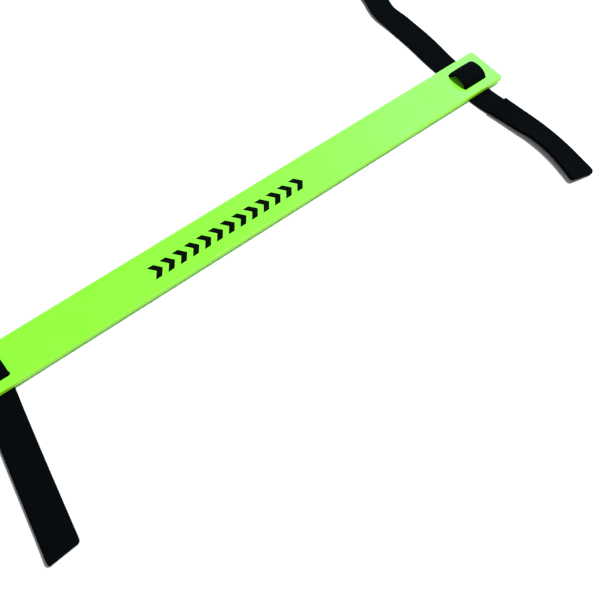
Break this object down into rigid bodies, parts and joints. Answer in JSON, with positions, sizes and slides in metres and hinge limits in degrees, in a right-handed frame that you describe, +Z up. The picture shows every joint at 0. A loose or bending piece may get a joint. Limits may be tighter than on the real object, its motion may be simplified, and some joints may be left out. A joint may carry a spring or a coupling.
{
  "type": "agility ladder",
  "caption": "Flat agility ladder: moulded lime-green rungs threaded on two black webbing straps with loose sewn tails, laid out on the ground to step or run through.",
  "frame": {"origin": "middle of the ladder on the ground, half way between the straps and between the end rungs", "axes": "+X along the rungs, +Y along the ladder away from its near end, +Z up from the ground"},
  "size_m": [0.4512, 1.3802, 0.0122],
  "materials": {
    "rung": "moulded fluorescent lime polypropylene, satin gloss",
    "print": "black screen-printed ink",
    "webbing": "black woven polypropylene webbing",
    "thread": "black bonded polyester sewing thread"
  },
  "bodies": {
    "section_1": {"left_webbing_1": "webbing", "right_webbing_1": "webbing"},
    "rung_1_set": {"rung_1": "rung", "rung_print_1": "print", "left_loop_1": "webbing", "right_loop_1": "webbing"},
    "section_2": {"left_webbing_2": "webbing", "right_webbing_2": "webbing"},
    "rung_2_set": {"rung_2": "rung", "rung_print_2": "print", "left_loop_2": "webbing", "right_loop_2": "webbing"},
    "section_3": {"left_webbing_3": "webbing", "right_webbing_3": "webbing"},
    "rung_3_set": {"rung_3": "rung", "rung_print_3": "print", "left_loop_3": "webbing", "right_loop_3": "webbing"},
    "section_4": {"left_webbing_4": "webbing", "right_webbing_4": "webbing"},
    "rung_4_set": {"rung_4": "rung", "rung_print_4": "print", "left_loop_4": "webbing", "right_loop_4": "webbing"},
    "near_left_tail": {"near_left_tail": "webbing", "near_left_tail_fold": "webbing", "near_left_tail_stitching": "thread"},
    "near_right_tail": {"near_right_tail": "webbing", "near_right_tail_fold": "webbing", "near_right_tail_stitching": "thread"},
    "far_left_tail": {"far_left_tail": "webbing", "far_left_tail_fold": "webbing", "far_left_tail_stitching": "thread"},
    "far_right_tail": {"far_right_tail": "webbing", "far_right_tail_fold": "webbing", "far_right_tail_stitching": "thread"}
  },
  "joints": [
    {"name": "fold_1", "type": "hinge", "parent": "section_1", "child": "section_2", "pos_m": [0, -0.38, 0.013], "axis": [1, 0, 0], "range_deg": [0, 180]},
    {"name": "fold_2", "type": "hinge", "parent": "section_2", "child": "section_3", "pos_m": [0, 0, -0.0005], "axis": [1, 0, 0], "range_deg": [-180, 0]},
    {"name": "fold_3", "type": "hinge", "parent": "section_3", "child": "section_4", "pos_m": [0, 0.38, 0.013], "axis": [1, 0, 0], "range_deg": [0, 180]},
    {"name": "rung_1_slide", "type": "slide", "parent": "section_1", "child": "rung_1_set", "axis": [0, 1, 0], "range_m": [0, 0.05]},
    {"name": "rung_2_slide", "type": "slide", "parent": "section_2", "child": "rung_2_set", "axis": [0, 1, 0], "range_m": [-0.05, 0.05]},
    {"name": "rung_3_slide", "type": "slide", "parent": "section_3", "child": "rung_3_set", "axis": [0, 1, 0], "range_m": [-0.05, 0.05]},
    {"name": "rung_4_slide", "type": "slide", "parent": "section_4", "child": "rung_4_set", "axis": [0, 1, 0], "range_m": [-0.05, 0]},
    {"name": "near_left_tail_lift", "type": "hinge", "parent": "section_1", "child": "near_left_tail", "pos_m": [-0.19862, -0.598, 0.0016], "axis": [0.9829, -0.184, 0], "range_deg": [-130, 0]},
    {"name": "near_right_tail_lift", "type": "hinge", "parent": "section_1", "child": "near_right_tail", "pos_m": [0.19539, -0.598, 0.0016], "axis": [0.9968, 0.08, 0], "range_deg": [-130, 0]},
    {"name": "far_left_tail_lift", "type": "hinge", "parent": "section_4", "child": "far_left_tail", "pos_m": [-0.19539, 0.598, 0.0016], "axis": [-0.9968, -0.08, 0], "range_deg": [-130, 0]},
    {"name": "far_right_tail_lift", "type": "hinge", "parent": "section_4", "child": "far_right_tail", "pos_m": [0.19862, 0.598, 0.0016], "axis": [-0.9829, 0.184, 0], "range_deg": [-130, 0]}
  ],
  "couplings": [
    {"joint": "fold_2", "follows": "fold_1", "ratio": -1},
    {"joint": "fold_3", "follows": "fold_1", "ratio": 1}
  ]
}
